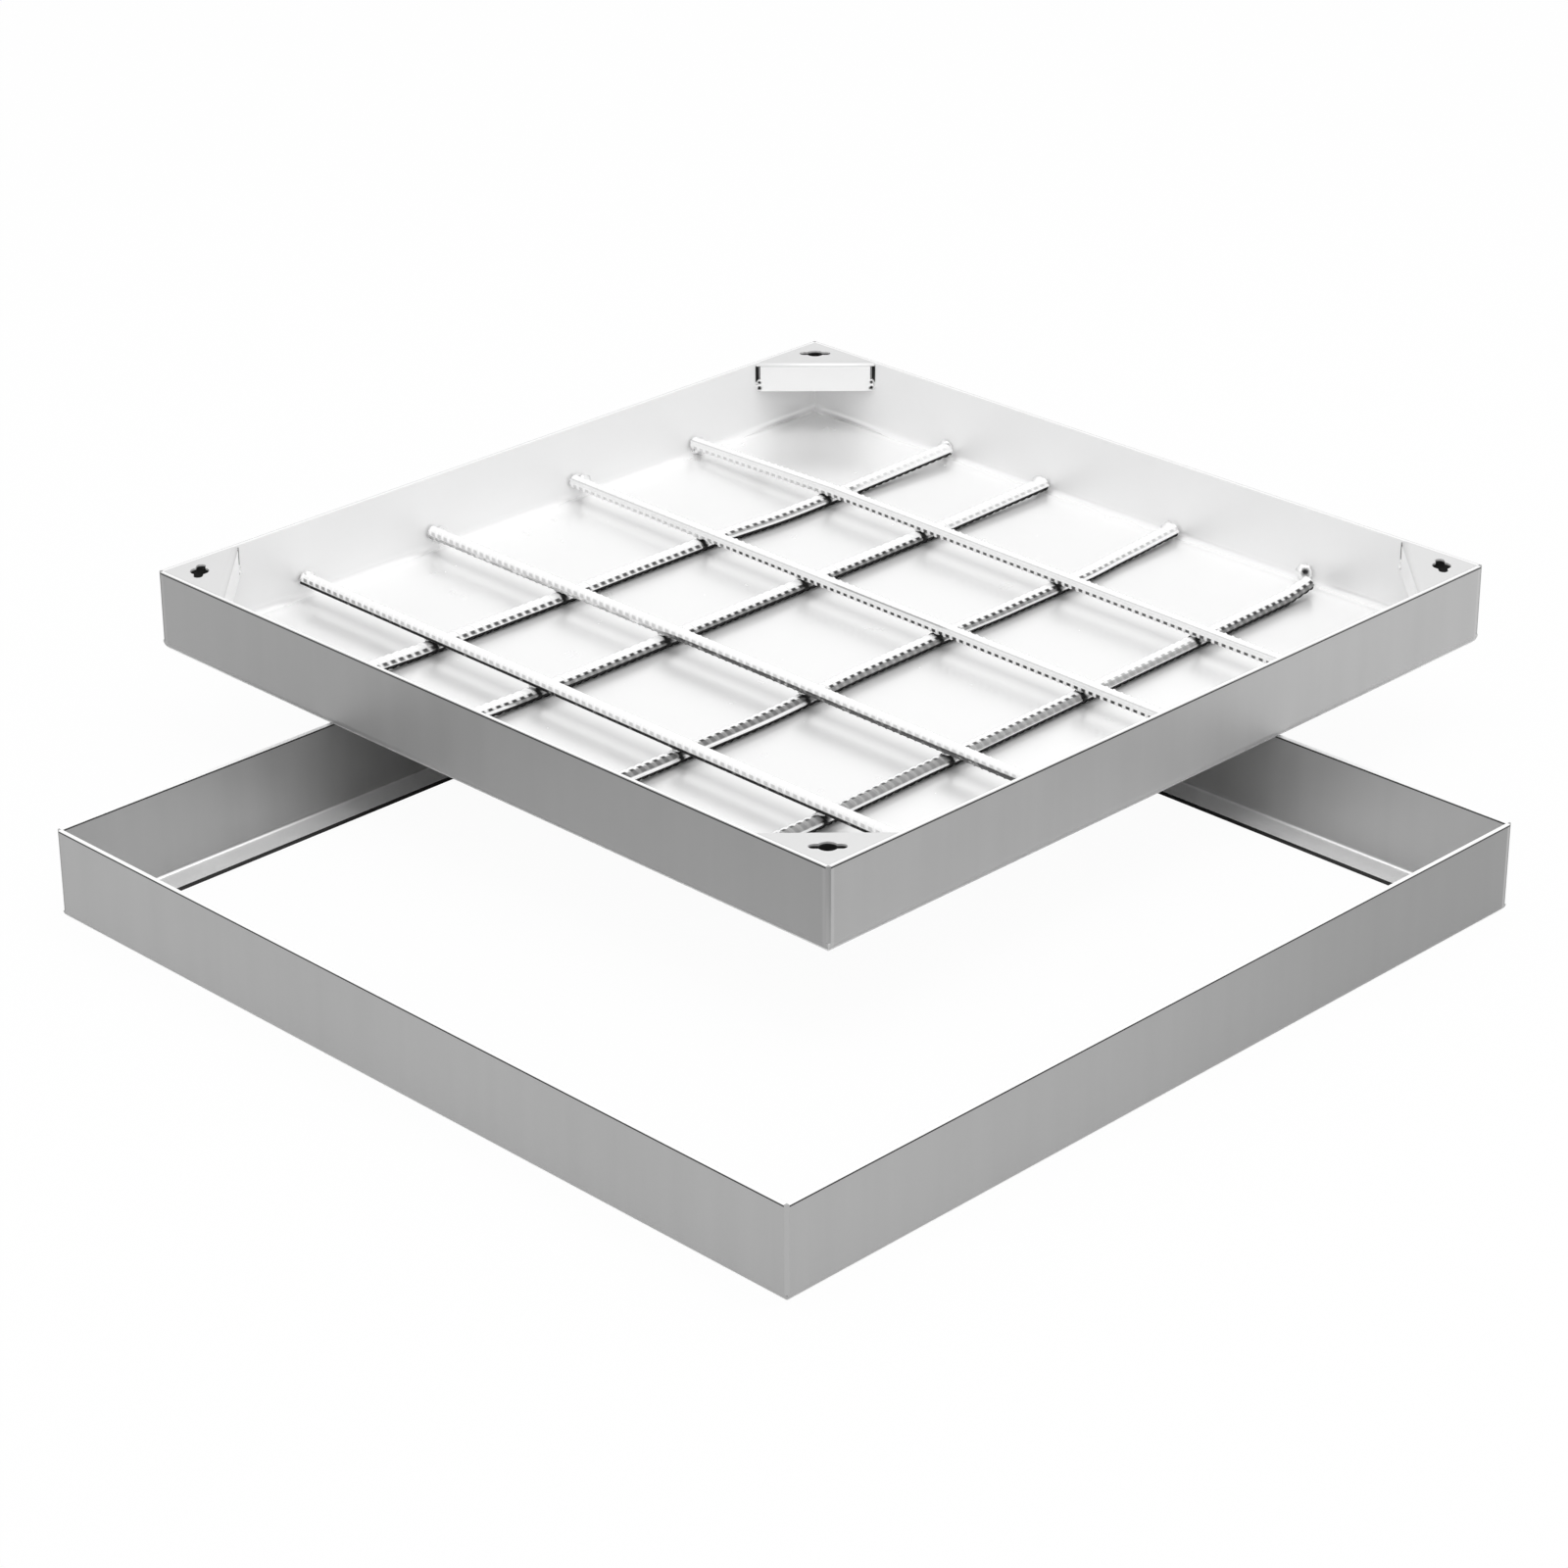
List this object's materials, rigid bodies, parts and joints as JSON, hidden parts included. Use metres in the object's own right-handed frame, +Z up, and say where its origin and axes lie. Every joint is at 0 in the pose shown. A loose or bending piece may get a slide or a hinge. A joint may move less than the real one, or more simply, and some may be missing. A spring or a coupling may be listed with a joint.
{
  "type": "recessed paving cover",
  "caption": "Square stainless sheet frame with a lift-out tray for paving, lying on it; ribbed bar grid inside and folded corner plates with keyholes.",
  "frame": {"origin": "middle of the square frame, in the plane of its underside", "axes": "+Z up; X and Y along the frame's sides. The tray lies over the frame's left (-X) and rear (+Y) walls"},
  "size_m": [0.7578, 0.7913, 0.1135],
  "materials": {
    "frame_steel": "satin mill finish, faint vertical marks",
    "tray_steel": "matt pickled finish",
    "plate_steel": "matt pickled finish",
    "bar_steel": "ribbed, satin",
    "weld_metal": "weld bead, part ground"
  },
  "bodies": {
    "root": {"frame_rail_front": "frame_steel", "frame_rail_right": "frame_steel", "frame_rail_rear": "frame_steel", "frame_rail_left": "frame_steel", "frame_corner_welds": "weld_metal", "tray_pan": "tray_steel", "tray_corner_welds": "weld_metal", "key_plate_front_left": "plate_steel", "key_plate_front_right": "plate_steel", "key_plate_rear_right": "plate_steel", "key_plate_rear_left": "plate_steel", "key_plate_welds": "weld_metal", "bar_lower_1": "bar_steel", "bar_lower_2": "bar_steel", "bar_lower_3": "bar_steel", "bar_lower_4": "bar_steel", "bar_upper_1": "bar_steel", "bar_upper_2": "bar_steel", "bar_upper_3": "bar_steel", "bar_upper_4": "bar_steel", "bar_end_welds": "weld_metal", "bar_crossing_welds": "weld_metal"}
  },
  "joints": []
}
